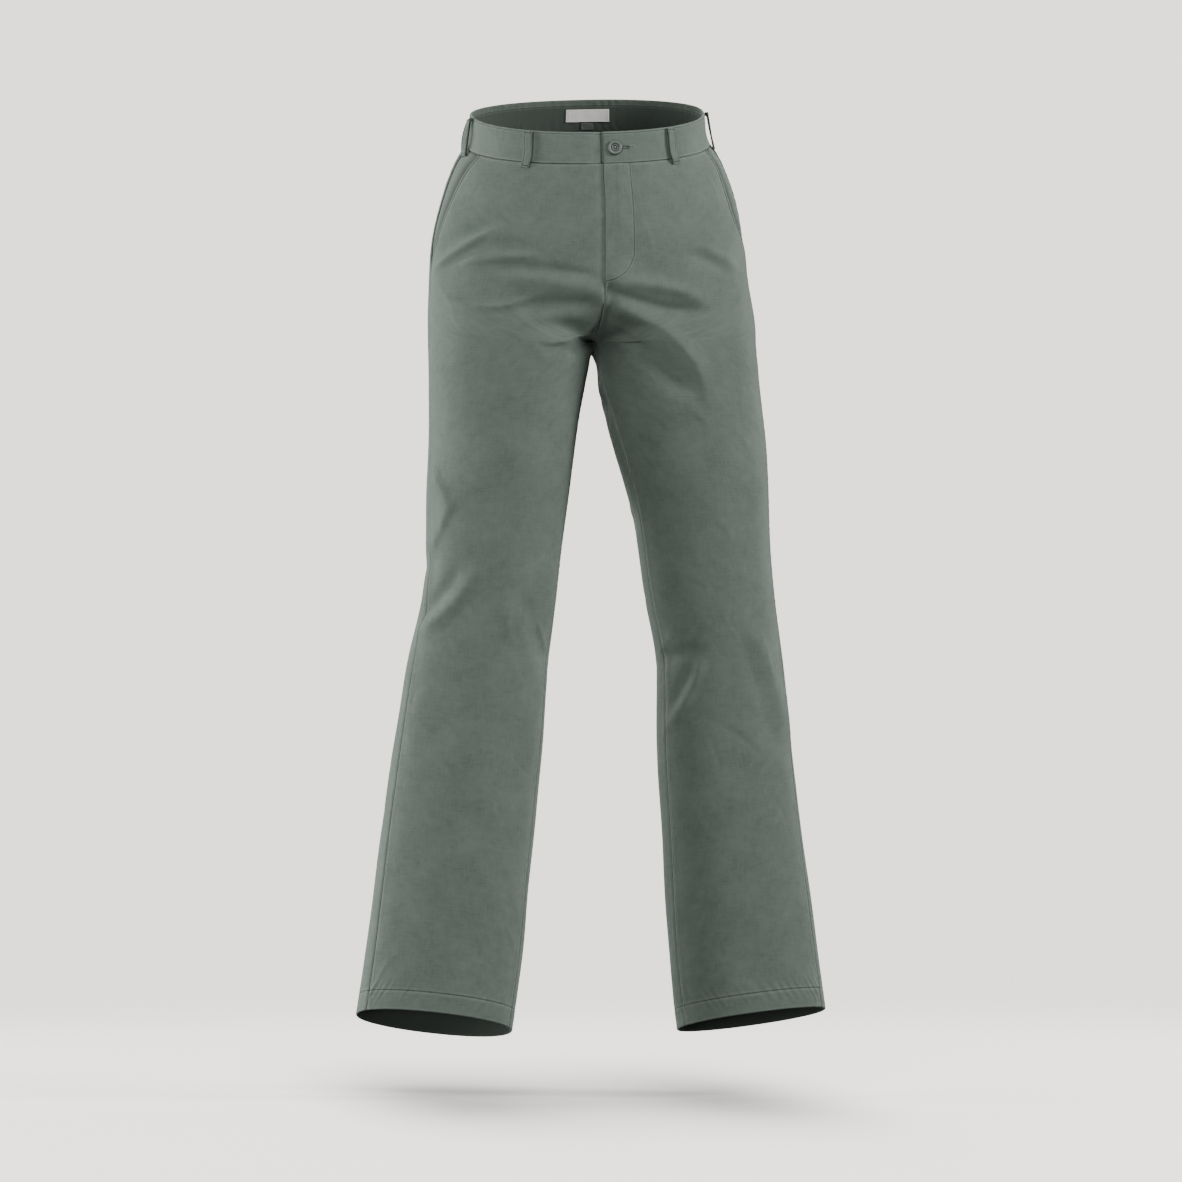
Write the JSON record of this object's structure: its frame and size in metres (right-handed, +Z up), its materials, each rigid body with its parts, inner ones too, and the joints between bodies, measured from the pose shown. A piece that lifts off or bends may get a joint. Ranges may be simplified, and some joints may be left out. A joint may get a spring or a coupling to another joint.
{
  "type": "dress trousers, filled out with no wearer",
  "caption": "Straight-leg dress trousers in plain twill with slant pockets, a buttoned waistband, belt loops and turned hems, hollow as worn.",
  "frame": {"origin": "middle of the waist opening, level with the top edge of the waistband at the sides, where the wearer's waist holds the garment up", "axes": "+Z up, out of the waist; the front of the garment faces -Y; +X is towards the wearer's left"},
  "size_m": [0.5549, 0.2471, 1.0957],
  "materials": {
    "twill": "matte washed cotton twill, sage green, tonal stitching",
    "button_plastic": "satin moulded plastic, tonal green",
    "label_satin": "woven satin, pale grey, blank",
    "tab_cloth": "woven tape, dark grey-green, blank"
  },
  "bodies": {
    "root": {"front_right": "twill", "front_left": "twill", "back_right": "twill", "back_left": "twill", "pocket_facing_right": "twill", "pocket_facing_left": "twill", "fly_shield": "twill", "waistband": "twill", "belt_loop_front_right": "twill", "belt_loop_front_left": "twill", "belt_loop_side_right": "twill", "belt_loop_side_left": "twill", "belt_loop_back": "twill", "waist_button": "button_plastic", "label": "label_satin", "size_tab": "tab_cloth"}
  },
  "joints": []
}
